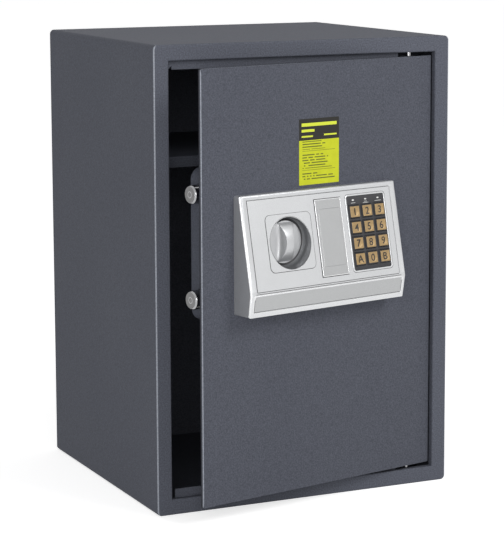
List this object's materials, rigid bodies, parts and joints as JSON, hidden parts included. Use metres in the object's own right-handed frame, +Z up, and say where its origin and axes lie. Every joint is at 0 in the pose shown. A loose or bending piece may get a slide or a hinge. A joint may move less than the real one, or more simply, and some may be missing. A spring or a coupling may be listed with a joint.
{
  "type": "electronic safe",
  "caption": "Steel home safe standing ajar, with a hinged door, silver keypad panel, recessed knob, two round bolts and an inner shelf.",
  "frame": {"origin": "the middle of the base of the cabinet, on the floor", "axes": "+X to the right seen from the front, +Y from the front to the back, +Z up"},
  "size_m": [0.35, 0.3948, 0.5],
  "materials": {
    "powder_coat": "fine textured dark grey powder coat",
    "inner_steel": "dark grey powder coat",
    "silver_plastic": "silver-grey painted moulding, satin",
    "black_plastic": "black moulding",
    "key_gold": "gold-brown keys",
    "chrome": "bright chrome plate",
    "zinc_steel": "zinc-plated steel",
    "brass": "plain brass",
    "sticker": "printed yellow label, black head",
    "rubber": "grey silicone",
    "board": "green laminate",
    "lamp": "clear lens",
    "red_plastic": "red cap",
    "cell_wrap": "plain wrap"
  },
  "bodies": {
    "cabinet": {"cabinet_shell": "powder_coat", "back_panel": "powder_coat", "front_frame": "powder_coat", "hinge_socket_top": "powder_coat", "hinge_socket_bottom": "powder_coat", "shelf_bracket_left": "inner_steel", "shelf_bracket_right": "inner_steel"},
    "shelf": {"shelf": "inner_steel"},
    "door": {"door_plate": "powder_coat", "hinge_block_top": "powder_coat", "hinge_block_bottom": "powder_coat", "hinge_pin_top": "chrome", "hinge_pin_bottom": "chrome", "panel_housing": "silver_plastic", "panel_screws": "zinc_steel", "knob_bezel": "silver_plastic", "bolt_guide": "zinc_steel", "carriage_pins": "zinc_steel", "solenoid": "zinc_steel", "lock_barrel": "chrome", "lock_nut": "zinc_steel", "keypad_frame": "black_plastic", "status_lamps": "lamp", "key_mat": "rubber", "circuit_board": "board", "sticker": "sticker", "inner_cover": "inner_steel", "cover_screws": "zinc_steel", "battery_tray": "black_plastic", "battery_cells": "cell_wrap", "battery_contacts": "zinc_steel", "reset_switch": "black_plastic"},
    "knob": {"knob": "silver_plastic", "knob_spindle": "zinc_steel", "crank": "zinc_steel"},
    "bolts": {"bolt_upper": "chrome", "bolt_lower": "chrome", "bolt_carriage": "zinc_steel"},
    "plunger": {"solenoid_plunger": "zinc_steel"},
    "lock_cover": {"lock_cover_plate": "silver_plastic"},
    "lock": {"lock_plug": "brass", "lock_cam": "zinc_steel"},
    "battery_lid": {"battery_lid": "black_plastic"},
    "reset_button": {"reset_button": "red_plastic"},
    "key_1": {"key_1": "key_gold"},
    "key_2": {"key_2": "key_gold"},
    "key_3": {"key_3": "key_gold"},
    "key_4": {"key_4": "key_gold"},
    "key_5": {"key_5": "key_gold"},
    "key_6": {"key_6": "key_gold"},
    "key_7": {"key_7": "key_gold"},
    "key_8": {"key_8": "key_gold"},
    "key_9": {"key_9": "key_gold"},
    "key_a": {"key_a": "key_gold"},
    "key_0": {"key_0": "key_gold"},
    "key_b": {"key_b": "key_gold"}
  },
  "joints": [
    {"name": "door_swing", "type": "hinge", "parent": "cabinet", "child": "door", "pos_m": [0.129, -0.1495, 0.25], "axis": [0, 0, 1], "range_deg": [-12.2, 102.8]},
    {"name": "shelf_lift", "type": "slide", "parent": "cabinet", "child": "shelf", "axis": [0, 0, 1], "range_m": [0, 0.02]},
    {"name": "bolt_slide", "type": "slide", "parent": "door", "child": "bolts", "axis": [-0.9774, -0.2113, 0], "range_m": [0, 0.015]},
    {"name": "knob_turn", "type": "hinge", "parent": "door", "child": "knob", "pos_m": [-0.05062, -0.19652, 0.2935], "axis": [0.2113, -0.9774, 0], "range_deg": [0, 90]},
    {"name": "plunger_slide", "type": "slide", "parent": "door", "child": "plunger", "axis": [0, 0, -1], "range_m": [0, 0.004]},
    {"name": "lock_cover_pull", "type": "slide", "parent": "door", "child": "lock_cover", "axis": [0.2072, -0.9581, 0.1977], "range_m": [0, 0.012]},
    {"name": "lock_turn", "type": "hinge", "parent": "door", "child": "lock", "pos_m": [0.00296, -0.18493, 0.2935], "axis": [-0.2113, 0.9774, 0], "range_deg": [0, 90]},
    {"name": "battery_lid_pull", "type": "slide", "parent": "door", "child": "battery_lid", "axis": [-0.2113, 0.9774, 0], "range_m": [0, 0.02]},
    {"name": "reset_button_press", "type": "slide", "parent": "door", "child": "reset_button", "axis": [0.2113, -0.9774, 0], "range_m": [0, 0.0015], "stiffness_N_per_m": 400},
    {"name": "key_1_press", "type": "slide", "parent": "door", "child": "key_1", "axis": [-0.2072, 0.9581, -0.1977], "range_m": [0, 0.0008], "stiffness_N_per_m": 500},
    {"name": "key_2_press", "type": "slide", "parent": "door", "child": "key_2", "axis": [-0.2072, 0.9581, -0.1977], "range_m": [0, 0.0008], "stiffness_N_per_m": 500},
    {"name": "key_3_press", "type": "slide", "parent": "door", "child": "key_3", "axis": [-0.2072, 0.9581, -0.1977], "range_m": [0, 0.0008], "stiffness_N_per_m": 500},
    {"name": "key_4_press", "type": "slide", "parent": "door", "child": "key_4", "axis": [-0.2072, 0.9581, -0.1977], "range_m": [0, 0.0008], "stiffness_N_per_m": 500},
    {"name": "key_5_press", "type": "slide", "parent": "door", "child": "key_5", "axis": [-0.2072, 0.9581, -0.1977], "range_m": [0, 0.0008], "stiffness_N_per_m": 500},
    {"name": "key_6_press", "type": "slide", "parent": "door", "child": "key_6", "axis": [-0.2072, 0.9581, -0.1977], "range_m": [0, 0.0008], "stiffness_N_per_m": 500},
    {"name": "key_7_press", "type": "slide", "parent": "door", "child": "key_7", "axis": [-0.2072, 0.9581, -0.1977], "range_m": [0, 0.0008], "stiffness_N_per_m": 500},
    {"name": "key_8_press", "type": "slide", "parent": "door", "child": "key_8", "axis": [-0.2072, 0.9581, -0.1977], "range_m": [0, 0.0008], "stiffness_N_per_m": 500},
    {"name": "key_9_press", "type": "slide", "parent": "door", "child": "key_9", "axis": [-0.2072, 0.9581, -0.1977], "range_m": [0, 0.0008], "stiffness_N_per_m": 500},
    {"name": "key_a_press", "type": "slide", "parent": "door", "child": "key_a", "axis": [-0.2072, 0.9581, -0.1977], "range_m": [0, 0.0008], "stiffness_N_per_m": 500},
    {"name": "key_0_press", "type": "slide", "parent": "door", "child": "key_0", "axis": [-0.2072, 0.9581, -0.1977], "range_m": [0, 0.0008], "stiffness_N_per_m": 500},
    {"name": "key_b_press", "type": "slide", "parent": "door", "child": "key_b", "axis": [-0.2072, 0.9581, -0.1977], "range_m": [0, 0.0008], "stiffness_N_per_m": 500}
  ],
  "couplings": [
    {"joint": "knob_turn", "follows": "bolt_slide", "rad_per_m": 104.72},
    {"joint": "plunger_slide", "follows": "bolt_slide", "ratio": 0.26667}
  ]
}
